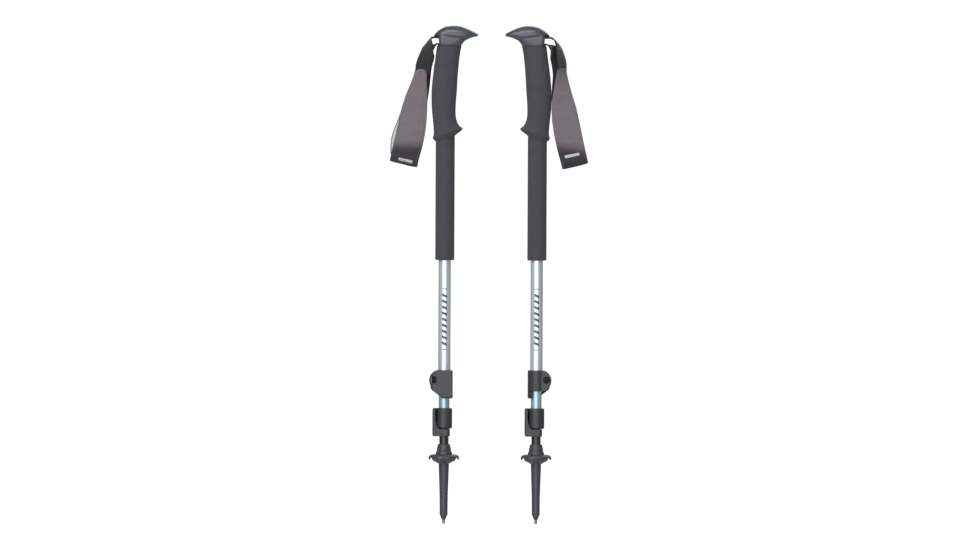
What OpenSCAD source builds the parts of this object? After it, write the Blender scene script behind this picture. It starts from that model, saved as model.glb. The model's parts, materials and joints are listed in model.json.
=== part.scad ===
// A pair of three-section trekking poles with lever locks, collapsed and upright.
// Front view looks along +Y. Tips stand at z = 0; the left pole is at -X, the right pole at +X.

/* [Pair] */
// Distance between the two pole axes
pole_spacing = 120; // [110:1:160]
// Height of one collapsed pole
pole_height = 649; // [649:1:659]

/* [Tubes] */
// Outer diameter of the upper tube
upper_d = 16; // [16:1:16]
// Outer diameter of the middle tube
middle_d = 14; // [14:1:14]
// Outer diameter of the lower tube
lower_d = 12; // [12:1:12]
// Wall thickness of every tube
wall = 0.8; // [0.6:0.1:0.9]
// Running clearance of everything that slides or turns, per side
gap = 0.05; // [0.02:0.01:0.1]

/* [Locks] */
// Top of the upper lock
upper_lock_top = 200; // [198:0.1:201]
// Body height of the upper lock
upper_lock_h = 27; // [25:0.5:28]
// Top of the lower lock
lower_lock_top = 150.5; // [150:0.1:151]
// Body height of the lower lock
lower_lock_h = 27; // [26:0.5:28]
// Wall of the upper clamp collar
upper_collar_wall = 2.6; // [2.4:0.1:2.8]
// Wall of the lower clamp collar
lower_collar_wall = 3.6; // [2.4:0.1:3.8]

/* [Grip] */
// Seam between head and foam
head_seam = 622; // [621:0.5:623]
// Seam between foam grip and foam extension
grip_seam = 500; // [499:0.5:501]
// Lower end of the foam extension
extension_end = 343; // [340:1:350]
// Outer diameter of the foam extension
extension_d = 25; // [23:0.5:25]
// Slope of the flare at the foam grip's lower end
flare_slope = 0.3; // [0:0.05:0.35]

/* [Strap] */
// Width of the strap webbing
webbing_w = 20; // [18:1:20]
// Thickness of the strap webbing
webbing_t = 1.6; // [1.2:0.1:1.8]
// Thickness of the wrist band's outer padding
band_t = 2.6; // [2:0.1:3]
// Thickness of the wrist band's lining
lining_t = 0.8; // [0.6:0.1:1]

/* [Basket and tip] */
// Diameter of the basket
basket_d = 40; // [38:1:44]
// Diameter of the straight lower end of the flex tip
tip_d = 10.4; // [10:0.1:10.8]
// Diameter of the carbide insert
carbide_d = 3.6; // [3:0.2:4]

/* [Hidden] */
$fn = 48;

charcoal = "#4b4b50";
bluish = "#4a505a";
pale_blue = "#c9d9e1";
mint = "#bcd8de";
black = "#1c1c1e";
band_grey = "#6f6b6d";
lining_mint = "#bfd8d2";
steel = "#b9bcc0";

sides = ["left", "right"];
parts = ["grip_head", "grip_core", "grip_foam", "grip_extension",
         "strap_pin", "strap_wedge", "strap_loop", "strap_webbing", "wrist_band", "band_lining",
         "upper_shaft", "upper_lock_collar", "upper_lock_pad", "upper_lock_barrel",
         "upper_lock_screw", "upper_lock_lever",
         "middle_shaft", "middle_guide", "lower_lock_collar", "lower_lock_pad",
         "lower_lock_barrel", "lower_lock_screw", "lower_lock_lever",
         "lower_shaft", "lower_guide", "tip_body", "basket", "basket_collar",
         "tip_ferrule", "carbide_tip"];
NODES = [for (s = sides) for (p = parts) str(s, "_", p)];
node = "all";

upper_r = upper_d / 2;
middle_r = middle_d / 2;
lower_r = lower_d / 2;
lift = pole_height - 649;

core_r = 10;
core_cap = 10;
core_low = 505;
upper_top = head_seam - core_cap;
middle_top = upper_top - 8;
lower_top = middle_top - 24;
seat_h = 12;
upper_low = upper_lock_top - upper_lock_h + seat_h;
middle_low = lower_lock_top - lower_lock_h + seat_h;
lower_low = 80;

// Strap pocket at the rear of the head: the pin's place and the mouth
pin_u = 1;
pin_z = 630.3;
pin_r = 2;
mouth_low = 623.2;
mouth_high = 634.6;
pocket_half = webbing_w / 2 + 0.5;

// Foam grip: height on the axis, reach to the rear, reach to the beak side, half depth
foam_profile = [
    [500, 12.5, 12.5, 12.5], [502, 12.8, 13.2, 12.8], [504.5, 15.4, 18.6, 14.6],
    [507, 16.4, 22.4, 16.2], [509.5, 15.6, 21.4, 15.8], [513, 15.1, 18.4, 14.8],
    [518, 15.3, 16.0, 14.0], [525, 16.0, 14.2, 13.6],
    [533, 17.0, 13.4, 13.5], [541, 17.8, 13.4, 13.5], [552, 18.2, 13.9, 13.6],
    [564, 18.1, 14.9, 13.7], [578, 17.0, 15.6, 13.6], [592, 15.4, 16.6, 13.3],
    [604, 13.7, 17.8, 13.0], [613, 12.5, 18.9, 12.7], [622, 11.4, 20.6, 12.5]];
// The flare's slope is full below the first height and gone above the second
slope_full = 508;
slope_gone = 545;
// Glue line between the foam grip and its extension
glue_line = 0.02;

// Head's dome and beak: distance to the beak side, top, underside, half width
dome_profile = [
    [-15, 636.6, 634.4, 3.8], [-13.5, 638.5, 633.9, 7.4], [-10, 641.8, 633.6, 10.8],
    [-5, 645.1, 632, 13.2], [2, 647.8, 630, 15.1], [10, 648.9, 629, 15.8],
    [18, 648.4, 628, 15.2], [25, 646.4, 629.2, 13.9], [31, 643.8, 632.0, 12],
    [36, 641.4, 633.8, 9.9], [40, 639.4, 634.5, 7.2], [42.2, 638.0, 635.2, 4.4]];

// Head's neck: height, reach to the rear, reach to the beak side, half depth, roundness
neck_profile = [
    [622, 10.6, 20.4, 12.6, 0.85], [624.5, 10.3, 21.4, 13.2, 0.6], [631, 10.4, 26.5, 13.7, 0.5],
    [637, 10.8, 30.5, 13.4, 0.6]];

// Wrist bands, going down the front: inner edge [away from pole axis, height], outer edge, turn
band_edges = [
    [[[24.0, 592], [39.2, 593], 90], [[24.3, 578], [42.8, 580], 90], [[23.3, 557], [51.2, 559], 90],
     [[23.4, 537], [57.4, 540], 90], [[25.0, 515], [61.8, 520], 90], [[28.4, 495], [66.0, 501], 90],
     [[34.8, 471], [70.8, 479.4], 90]],
    [[[26.4, 595], [36.8, 598], 35], [[23.8, 582], [38.6, 584], 54], [[19.4, 557], [45.4, 559], 78],
     [[17.8, 538], [50.8, 541], 88], [[20.4, 515], [55.8, 519], 90], [[24.6, 493], [60.2, 498], 90],
     [[31.0, 469], [64.8, 477.4], 90]]];
fold_drop = 7;
band_gap_y = 6.4;
rear_shift = [5, 0];
// Row of the band's path, three to a table row, where the padded rear layer begins
rear_top = [9, 10];

// Front webbing leg, from head to band: [away, y, height, turn from across to facing]
front_leg = [
    [[15.8, 0, 633.2, 0], [17.6, 0, 632.9, 0], [20.0, -0.2, 631.5, 1], [22.0, -1.2, 628.4, 14],
     [23.3, -3.6, 621, 42], [24.8, -5.5, 611, 66], [27.3, -6.4, 602, 82], [29, -6.4, 596.6, 88]],
    [[15.8, 0, 633.2, 0], [17.8, 0, 632.8, 0], [21.6, -0.3, 630.6, 3], [25.0, -1.6, 626, 13],
     [27.8, -3.4, 619, 23], [29.6, -5.0, 611, 30], [31.2, -6.2, 603, 35], [31.8, -6.4, 598.4, 35]]];
// Rear webbing leg, from head to the padded rear layer
rear_leg = [
    [[11.0, 0, 624.4, 0], [14.6, 1.4, 621.6, 16], [19.6, 3.8, 616.6, 42], [23.4, 5.4, 609, 66],
     [26.4, 6.2, 601, 80], [28.4, 6.4, 592, 88], [29.5, 6.4, 580, 90], [31.6, 6.4, 562, 90],
     [34.0, 6.4, 547, 90], [34.6, 6.4, 541, 90]],
    [[11.0, 0, 624.4, 0], [14.6, 0.6, 622.2, 14], [19.4, 2.6, 618, 38], [23.4, 4.8, 612.6, 58],
     [25.8, 6.2, 606, 67], [27.6, 6.8, 597, 68], [28.8, 6.8, 586, 66], [28.8, 6.6, 574, 76],
     [28.2, 6.4, 558, 89], [28.6, 6.4, 533, 90]]];

// Lock geometry, with the ears toward -X and the lever's door on the front
lobe_left = 19.6;
lobe_r = 13.1;
ear_arc = 15.5;
lever_arc = 24.5;
slant = 0.78;
slant_x = -17.6;
slant_drop = 24.4;
screw_x = 13.5;
screw_drop = 12.6;
barrel_y = 10.75;
barrel_r = 2.6;
barrel_half = 6.5;
knuckle_r = 4.25;
ear_y = 5.5;
pad_t = 1;
door_t = 3.9;
hook_h = 9.6;
hook_end = 55;
hook_in = 1.6;
skirt_r = 42;
slot_r = 4.2;
side_round = 2.6;
slit = 1.5;
screw_r = 2;

// Notches round the basket's rim
notch_z = 82;
notch_r = 4.6;
// Seam between the basket and its collar
hub_seam = 89.8;

// 0 for the left pole and 1 for the right
function side_of(s) = s == "left" ? 0 : 1;
function shown(s, p) = node == "all" || node == str(s, "_", p);

// Cubic through a table of rows, by the first column
function knot(t, v, i = 0) = (i >= len(t) - 2 || v <= t[i + 1][0]) ? i : knot(t, v, i + 1);
function slope(t, i) =
    let (a = max(i - 1, 0), b = min(i + 1, len(t) - 1)) (t[b] - t[a]) / (t[b][0] - t[a][0]);
function smooth(t, v) =
    let (i = knot(t, v), h = t[i + 1][0] - t[i][0], s = (v - t[i][0]) / h)
    t[i] * (2 * pow(s, 3) - 3 * s * s + 1) + slope(t, i) * h * (pow(s, 3) - 2 * s * s + s)
    + t[i + 1] * (3 * s * s - 2 * pow(s, 3)) + slope(t, i + 1) * h * (pow(s, 3) - s * s);

// Catmull-Rom through a list of points, k steps between neighbours
function cr(p, i, s) =
    let (a = p[max(i - 1, 0)], b = p[i], c = p[i + 1], d = p[min(i + 2, len(p) - 1)])
    0.5 * (2 * b + (c - a) * s + (2 * a - 5 * b + 4 * c - d) * s * s
           + (3 * b - a - 3 * c + d) * s * s * s);
function spline(p, k) =
    [for (i = [0:len(p) - 2]) for (j = [0:k - 1]) cr(p, i, j / k), p[len(p) - 1]];

// Closed solid through rings of n points each, both ends capped
module loft(rings) {
    n = len(rings[0]);
    m = len(rings);
    polyhedron(
        points = [for (r = rings) each r],
        faces = [
            [for (j = [n - 1:-1:0]) j],
            [for (j = [0:n - 1]) (m - 1) * n + j],
            for (i = [0:m - 2]) for (j = [0:n - 1]) each [
                [i * n + j, (i + 1) * n + (j + 1) % n, (i + 1) * n + j],
                [i * n + j, i * n + (j + 1) % n, (i + 1) * n + (j + 1) % n]]],
        convexity = 6);
}

// Egg-shaped section at height z: rear and beak reaches on X, half depth on Y, squared by power p
function bulge(v, p) = sign(v) * pow(abs(v), p);
function egg(row, n) =
    [for (j = [0:n - 1]) let (a = -360 * j / n, p = len(row) > 4 ? row[4] : 1)
        [bulge(cos(a), p) * (cos(a) > 0 ? row[2] : row[1]), bulge(sin(a), p) * row[3], row[0]]];

// Foam section, with the flare's slope added
function ease(v) = let (t = min(max(v, 0), 1)) t * t * (3 - 2 * t);
function foam_ring(z, n) =
    let (k = flare_slope * (1 - ease((z - slope_full) / (slope_gone - slope_full))))
    [for (p = egg(smooth(foam_profile, z), n)) [p[0], p[1], p[2] + k * p[0]]];

// Upright oval section of the dome at reach x
function dome_ring(row, n) =
    let (mid = row[2] + 0.36 * (row[1] - row[2]))
    [for (j = [0:n - 1]) let (a = -360 * j / n)
        [row[0], row[3] * cos(a) * (1 - 0.12 * pow(sin(a), 2)),
         mid + sin(a) * (sin(a) > 0 ? row[1] - mid : mid - row[2])]];

// Rounded ribbon section: centre, half-width vector, half-thickness vector
function ribbon_ring(c, w, t) =
    [c + w + t * 0.3, c + w * 0.96 + t, c - w * 0.96 + t, c - w + t * 0.3,
     c - w - t * 0.3, c - w * 0.96 - t, c + w * 0.96 - t, c + w - t * 0.3];
function unit(v) = v / norm(v);
function along(p, i) = unit(p[min(i + 1, len(p) - 1)] - p[max(i - 1, 0)]);

// Places a pole's pieces: side 0 is the left pole. facing turns the beak toward the other pole
module on_pole(s) {
    translate([(side_of(s) - 0.5) * pole_spacing, 0, 0]) children();
}
module facing(s) {
    on_pole(s) mirror([side_of(s), 0, 0]) translate([0, 0, lift]) children();
}

module tube(z0, z1, r) {
    translate([0, 0, z0]) difference() {
        cylinder(h = z1 - z0, r = r);
        translate([0, 0, -1]) cylinder(h = z1 - z0 + 2, r = r - wall);
    }
}

// ---- Head and grip ----
module strap_pocket() {
    translate([-30, -pocket_half, mouth_low]) cube([30 + pin_u, 2 * pocket_half, mouth_high - mouth_low]);
    translate([pin_u, pocket_half, (mouth_low + mouth_high) / 2]) rotate([90, 0, 0])
        cylinder(h = 2 * pocket_half, r = (mouth_high - mouth_low) / 2);
}

module grip_head(s) {
    color(bluish) facing(s) difference() {
        union() {
            loft([for (i = [0:26]) dome_ring(smooth(dome_profile, -15 + 57.2 * i / 26), 28)]);
            loft([for (i = [0:8]) egg(smooth(neck_profile, 622 + 15 * i / 8), 32)]);
        }
        strap_pocket();
        translate([pin_u, 20, pin_z]) rotate([90, 0, 0]) cylinder(h = 20 + pocket_half + 1, r = pin_r);
    }
}

module grip_core(s) {
    color(black) facing(s) difference() {
        translate([0, 0, core_low]) cylinder(h = head_seam - core_low, r = core_r);
        translate([0, 0, core_low - 1]) cylinder(h = head_seam - core_cap - core_low + 1, r = upper_r);
    }
}

module grip_foam(s) {
    color(charcoal) facing(s) difference() {
        loft([for (i = [0:52]) foam_ring(grip_seam + (head_seam - grip_seam) * pow(i / 52, 1.15), 28)]);
        translate([0, 0, core_low]) cylinder(h = head_seam - core_low + 5, r = core_r);
        translate([0, 0, grip_seam - 5]) cylinder(h = 20, r = upper_r);
    }
}

module grip_extension(s) {
    R = extension_d / 2;
    color(charcoal) facing(s) difference() {
        rotate_extrude() polygon([
            [upper_r, extension_end], [R - 2, extension_end], [R - 0.6, extension_end + 0.6],
            [R, extension_end + 2], [R, grip_seam + 6], [upper_r, grip_seam + 6]]);
        translate([0, 0, grip_seam - glue_line]) rotate([0, -atan(flare_slope), 0])
            translate([-40, -40, 0]) cube([80, 80, 40]);
    }
}

module strap_pin(s) {
    color(steel) facing(s) translate([pin_u, 13, pin_z]) rotate([90, 0, 0])
        cylinder(h = 13 + pocket_half + 1, r = pin_r);
}

module strap_wedge(s) {
    color(black) facing(s) translate([0, pocket_half - 1, 0]) rotate([90, 0, 0])
        linear_extrude(2 * pocket_half - 2)
        polygon([[-8.6, 626.6], [-2.4, 625.4], [-3.4, 629.6], [-4.6, 630.6], [-8.6, 630.2]]);
}

module strap_loop(s) {
    r_in = pin_r + 0.1;
    r_out = r_in + webbing_t;
    color(black) facing(s) translate([pin_u, webbing_w / 2, pin_z]) rotate([90, 0, 0])
        difference() {
            union() {
                cylinder(h = webbing_w, r = r_out);
                translate([-14.6 - pin_u, r_in - 1.2, 0]) cube([14.6 + pin_u, r_out - r_in + 1.2, webbing_w]);
            }
            translate([0, 0, -1]) cylinder(h = webbing_w + 2, r = r_in);
            translate([-20, r_in - 1.3, -1]) cube([18.5, 1.3, webbing_w + 2]);
        }
}

// ---- Strap ----
// Rings of a webbing leg from its [away, y, z, turn] stations
function leg_rings(leg, w, t) =
    let (p = spline(leg, 4), c = [for (q = p) [-q[0], q[1], q[2]]])
    [for (i = [0:len(p) - 1])
        let (a = p[i][3], raw = [sin(a), -cos(a), 0], d = along(c, i),
             wv = unit(raw - d * (raw * d)), tv = cross(wv, d))
        ribbon_ring(c[i], wv * w / 2, tv * t / 2)];

// The band's path: centre, half-width vector and outward normal, front layer, fold, rear layer
function band_rows(side, k) =
    let (e = spline([for (q = band_edges[side]) concat(q[0], q[1], q[2])], k))
    [for (q = e) let (out = (q[2] - q[0]) / 2)
        [[-(q[0] + q[2]) / 2, (q[1] + q[3]) / 2], [-out, out / tan(q[4]), (q[3] - q[1]) / 2]]];
function front_of(w) = unit([-w[1], w[0], 0]);
function band_path(side, k) =
    let (f = band_rows(side, k), m = len(f) - 1, w = f[m][1],
         tilt = unit([w[2], -w[0]]), down = tilt[1] > 0 ? -tilt : tilt)
    concat(
        [for (q = f) [[q[0][0], -band_gap_y, q[0][1]], q[1], front_of(q[1])]],
        [for (a = [20:20:160]) [
            [f[m][0][0] + down[0] * fold_drop * sin(a), -band_gap_y * cos(a),
             f[m][0][1] + down[1] * fold_drop * sin(a)],
            w, unit([down[0] * sin(a), -cos(a), down[1] * sin(a)])]],
        [for (i = [m:-1:rear_top[side]]) [
            [f[i][0][0] - rear_shift[side] * sin(180 * pow((i - rear_top[side]) / (m - rear_top[side]), 1.4)),
             band_gap_y, f[i][0][1]],
            f[i][1], -front_of(f[i][1])]]);

module band_layer(side, t, inset, narrow) {
    loft([for (q = band_path(side, 3))
        let (wl = norm(q[1]), wv = q[1] * ((wl - narrow) / wl))
        ribbon_ring(q[0] - q[2] * inset, wv, q[2] * t / 2)]);
}

module strap_webbing(s) {
    side = side_of(s);
    color(black) facing(s) {
        loft(leg_rings(front_leg[side], webbing_w, webbing_t));
        loft(leg_rings(rear_leg[side], webbing_w, webbing_t));
    }
}
module wrist_band(s) {
    color(band_grey) facing(s) band_layer(side_of(s), band_t, 0, 0);
}
module band_lining(s) {
    color(lining_mint) facing(s) band_layer(side_of(s), lining_t, (band_t + lining_t) / 2 + 0.05, 1);
}

// ---- Locks ----
// Turns a lock to its place on the pole
module lock_frame(s, upper) {
    turn = upper ? 180 * side_of(s) : -90;
    on_pole(s) rotate([0, 0, turn]) translate([0, 0, lift]) children();
}
function lock_top(upper) = upper ? upper_lock_top : lower_lock_top;
function lock_h(upper) = upper ? upper_lock_h : lower_lock_h;
function outer_r(upper) = upper ? upper_r : middle_r;
function inner_r(upper) = upper ? middle_r : lower_r;
function collar_r(upper) = outer_r(upper) + (upper ? upper_collar_wall : lower_collar_wall);
function screw_z(upper) = lock_top(upper) - screw_drop;

// Front outline of the ears or the door, in X and height: round above, a wider arc and a slant below
module lobe_outline(upper, low, right, arc) {
    top = lock_top(upper);
    cz = top - lobe_r;
    intersection() {
        union() {
            translate([-lobe_left + lobe_r, cz]) circle(r = lobe_r, $fn = 96);
            intersection() {
                translate([-lobe_left + arc, cz]) circle(r = arc, $fn = 128);
                translate([-40, low]) square([40 + right, cz - low]);
            }
            translate([-lobe_left + lobe_r, cz]) square([lobe_left - lobe_r + right, lobe_r]);
            translate([0, low]) square([right, top - low]);
        }
        rounded_square(-40, low, right, top, 1.6);
        polygon([[slant_x - 60, cz], [slant_x, top - slant_drop], [slant_x + 30, top - slant_drop - 30 * slant],
                 [60, top - 80], [60, top + 1], [slant_x - 60, top + 1]]);
    }
}
module rounded_square(x0, y0, x1, y1, r) {
    translate([x0 + r, y0]) square([x1 - x0 - 2 * r, y1 - y0]);
    translate([x0, y0 + r]) square([x1 - x0, y1 - y0 - 2 * r]);
    for (x = [x0 + r, x1 - r], y = [y0 + r, y1 - r])
        translate([x, y]) circle(r = r);
}
module upright(y0, y1) {
    translate([0, y1, 0]) rotate([90, 0, 0]) linear_extrude(y1 - y0) children();
}

module lock_collar(s, upper) {
    top = lock_top(upper);
    low = top - lock_h(upper);
    R = collar_r(upper);
    foot = upper ? 1 : 2.4;
    color(charcoal) lock_frame(s, upper) difference() {
        union() {
            translate([0, 0, low]) rotate_extrude() polygon([
                [0, 0], [R - foot, 0], [R - 0.3 * foot, 0.3 * foot], [R, foot],
                [R, lock_h(upper) - 1.2], [R - 1.2, lock_h(upper)], [0, lock_h(upper)]]);
            upright(-ear_y, ear_y + 3) lobe_outline(upper, low, 2, ear_arc);
        }
        translate([0, 0, low + seat_h]) cylinder(h = lock_h(upper), r = outer_r(upper));
        translate([0, 0, low - 1]) cylinder(h = lock_h(upper), r = inner_r(upper) + gap);
        translate([-40, -slit / 2, low - 1]) cube([40, slit, lock_h(upper) + 2]);
        translate([-screw_x, 20, screw_z(upper)]) rotate([90, 0, 0]) cylinder(h = 40, r = screw_r + gap);
        translate([-screw_x, 20, screw_z(upper)]) rotate([90, 0, 0]) cylinder(h = 20 - ear_y, r = 4.4);
    }
}

module lock_pad(s, upper) {
    color(steel) lock_frame(s, upper) upright(-ear_y - pad_t, -ear_y) difference() {
        translate([-screw_x - 3.4, screw_z(upper) - 7]) square([7.2, 14]);
        translate([-screw_x, screw_z(upper)]) circle(r = screw_r + gap);
    }
}

module lock_barrel(s, upper) {
    color(steel) lock_frame(s, upper) difference() {
        translate([-screw_x, -barrel_y, screw_z(upper) - barrel_half])
            cylinder(h = 2 * barrel_half, r = barrel_r);
        translate([-screw_x, 0, screw_z(upper)]) rotate([90, 0, 0])
            cylinder(h = 2 * barrel_y, r = screw_r + gap);
    }
}

module lock_screw(s, upper) {
    head_y = ear_y + 2.6;
    color(steel) lock_frame(s, upper) translate([-screw_x, head_y, screw_z(upper)]) rotate([90, 0, 0])
        difference() {
            union() {
                cylinder(h = 2.6, r = 3.6);
                cylinder(h = head_y + barrel_y + 2, r = screw_r);
            }
            translate([0, 0, -1]) cylinder(h = 2.6, r = 1.5, $fn = 6);
        }
}

module lock_lever(s, upper) {
    top = lock_top(upper);
    low = top - lock_h(upper);
    hook_low = low - hook_h;
    R = collar_r(upper);
    hook_r = inner_r(upper) + hook_in;
    hook_R = hook_r + 2;
    door_y = barrel_y + knuckle_r;
    color(charcoal) lock_frame(s, upper) difference() {
        intersection() {
            // Outline from the side, with rounded corners
            translate([-40, 0, 0]) rotate([90, 0, 90]) linear_extrude(80)
                rounded_square(-door_y, hook_low, 30, top, side_round);
            union() {
                // Door over the ears and the collar, with the knuckle that turns on the barrel
                intersection() {
                    upright(-door_y, -6.4) lobe_outline(upper, hook_low, R + 0.6, lever_arc);
                    union() {
                        translate([-screw_x, -barrel_y, hook_low]) cylinder(h = 60, r = knuckle_r);
                        translate([-screw_x, -door_y, hook_low]) cube([screw_x + R - 0.4, door_t, 60]);
                        translate([0, -door_y + 1.2, hook_low]) cube([R + 0.8, door_t - 1.2, 60]);
                    }
                }
                // Skirt that wraps round the collar and widens downward to the hook
                intersection() {
                    translate([0, 0, hook_low + 2]) cylinder(h = lock_h(upper) + hook_h - 4, r = R + 1.3);
                    translate([-1, 0, 0]) rotate([90, 0, 90]) linear_extrude(30) difference() {
                        translate([-R - 2, hook_low]) square([R + 0.5, lock_h(upper) + hook_h]);
                        translate([skirt_r - R - 0.9, top - 7.5]) circle(r = skirt_r, $fn = 96);
                    }
                }
                // Hook that wraps the inner tube below the collar
                intersection() {
                    translate([0, 0, hook_low]) cylinder(h = hook_h - 0.3, r = hook_R);
                    translate([0, 0, hook_low]) linear_extrude(hook_h) polygon([
                        [0, 0], [-5, -20], [30, -20], [30, 0], [30 * cos(hook_end), 30 * sin(hook_end)]]);
                }
                // Web that joins the hook to the door
                translate([-2.4, -door_y + 0.6, hook_low])
                    cube([2.4 + hook_r, door_y - 0.6 - hook_r * 0.5, hook_h - 0.3]);
            }
        }
        // Collar, tube, barrel and the slot that the screw passes as the lever opens
        translate([0, 0, low - 0.3]) cylinder(h = 60, r = R + 0.15);
        translate([0, 0, hook_low - 1]) cylinder(h = hook_h + 2, r = hook_r);
        translate([-screw_x, -barrel_y, hook_low - 1])
            cylinder(h = screw_z(upper) + barrel_half + gap - hook_low + 1, r = barrel_r + gap);
        translate([-screw_x, 0, screw_z(upper)]) rotate([90, 0, 0]) cylinder(h = 30, r = slot_r);
        translate([-40, -20, screw_z(upper) - slot_r]) cube([40 - screw_x, 20, 2 * slot_r]);
        translate([-screw_x, -door_y + 1, screw_z(upper)]) rotate([90, 0, 0])
            cylinder(h = 1.1, r1 = slot_r, r2 = slot_r + 1.1);
    }
}

// ---- Shafts ----
module upper_shaft(s) {
    color(pale_blue) facing(s) tube(upper_low, upper_top, upper_r);
}
module middle_shaft(s) {
    color(mint) facing(s) tube(middle_low, middle_top, middle_r);
}
module lower_shaft(s) {
    color(black) facing(s) tube(lower_low, lower_top, lower_r);
}
// Split bush on top of an inner tube, running in the next tube's bore
module guide(s, z, r_tube, r_bore) {
    color(black) facing(s) difference() {
        translate([0, 0, z - 1]) cylinder(h = 3, r = r_bore - gap);
        translate([0, 0, z - 20]) cylinder(h = 20, r = r_tube);
        translate([0, 0, z - 20]) cylinder(h = 40, r = r_tube - wall - 1);
    }
}
module middle_guide(s) {
    guide(s, middle_top, middle_r, upper_r - wall);
}
module lower_guide(s) {
    guide(s, lower_top, lower_r, middle_r - wall);
}

// ---- Basket and tip ----
module tip_body(s) {
    r = tip_d / 2;
    color(charcoal) facing(s) rotate_extrude() polygon([
        [0, 28], [2.4, 28], [2.4, 11], [r - 0.5, 11], [r, 11.5], [r, 38], [6.3, 74], [6.3, 78.4],
        [6.9, 79.4], [6.9, 103.6], [lower_r, 103.6], [lower_r, lower_low], [0, lower_low]]);
}
module basket(s) {
    R = basket_d / 2;
    color(charcoal) facing(s) difference() {
        rotate_extrude() polygon([
            [6.9, 79.4], [8.0, 78.2], [9.6, 79.6], [12.2, 80.8], [14.8, 82.2], [15.8, 84.6],
            [16.8, 86.4], [17.6, 86.6], [18.2, 85.6], [18.4, 83.6], [R - 0.8, 83.2], [R, 84.2],
            [R - 0.1, 86.0], [R - 0.9, 88.0], [R - 2.6, 89.4], [R - 5.0, 89.9], [12, 89.6],
            [10.9, hub_seam], [6.9, hub_seam]]);
        for (a = [0:60:300]) {
            rotate([0, 0, a]) translate([14.4, 0, 70]) cylinder(h = 40, r = 1.3, $fn = 24);
            rotate([0, 0, a + 30]) translate([15.9, 0, notch_z]) rotate([0, 90, 0])
                cylinder(h = 10, r = notch_r);
        }
    }
}
module basket_collar(s) {
    color(bluish) facing(s) rotate_extrude() polygon([
        [6.9, hub_seam], [10.8, hub_seam], [10.6, 91.6], [10.1, 93.6], [9.4, 94.2], [9.0, 94.7],
        [9.1, 95.3], [9.5, 95.7], [8.0, 102.4], [7.4, 103.4], [6.9, 103.6]]);
}
module tip_ferrule(s) {
    color("#5a5c60") facing(s) rotate_extrude() polygon([
        [carbide_d / 2 - 0.4, 5.2], [carbide_d / 2 + 0.5, 5.2], [tip_d / 2 - 0.9, 10.2],
        [tip_d / 2 - 0.9, 11], [2.4, 11], [2.4, 28], [0, 28], [0, 14], [carbide_d / 2 - 0.4, 14]]);
}
module carbide_tip(s) {
    r = carbide_d / 2;
    color(steel) facing(s) rotate_extrude() polygon([
        [0, 14], [0, 1.2], [0.6, 0.7], [r - 0.5, -lift], [r, 0.5], [r, 5.2], [r - 0.4, 5.2],
        [r - 0.4, 14]]);
}

for (s = sides) {
    if (shown(s, "grip_head")) grip_head(s);
    if (shown(s, "grip_core")) grip_core(s);
    if (shown(s, "grip_foam")) grip_foam(s);
    if (shown(s, "grip_extension")) grip_extension(s);
    if (shown(s, "strap_pin")) strap_pin(s);
    if (shown(s, "strap_wedge")) strap_wedge(s);
    if (shown(s, "strap_loop")) strap_loop(s);
    if (shown(s, "strap_webbing")) strap_webbing(s);
    if (shown(s, "wrist_band")) wrist_band(s);
    if (shown(s, "band_lining")) band_lining(s);
    if (shown(s, "upper_shaft")) upper_shaft(s);
    if (shown(s, "upper_lock_collar")) lock_collar(s, true);
    if (shown(s, "upper_lock_pad")) lock_pad(s, true);
    if (shown(s, "upper_lock_barrel")) lock_barrel(s, true);
    if (shown(s, "upper_lock_screw")) lock_screw(s, true);
    if (shown(s, "upper_lock_lever")) lock_lever(s, true);
    if (shown(s, "middle_shaft")) middle_shaft(s);
    if (shown(s, "middle_guide")) middle_guide(s);
    if (shown(s, "lower_lock_collar")) lock_collar(s, false);
    if (shown(s, "lower_lock_pad")) lock_pad(s, false);
    if (shown(s, "lower_lock_barrel")) lock_barrel(s, false);
    if (shown(s, "lower_lock_screw")) lock_screw(s, false);
    if (shown(s, "lower_lock_lever")) lock_lever(s, false);
    if (shown(s, "lower_shaft")) lower_shaft(s);
    if (shown(s, "lower_guide")) lower_guide(s);
    if (shown(s, "tip_body")) tip_body(s);
    if (shown(s, "basket")) basket(s);
    if (shown(s, "basket_collar")) basket_collar(s);
    if (shown(s, "tip_ferrule")) tip_ferrule(s);
    if (shown(s, "carbide_tip")) carbide_tip(s);
}
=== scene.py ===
"""Looks for a pair of collapsed trekking poles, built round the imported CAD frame."""

import json
import math

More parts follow.
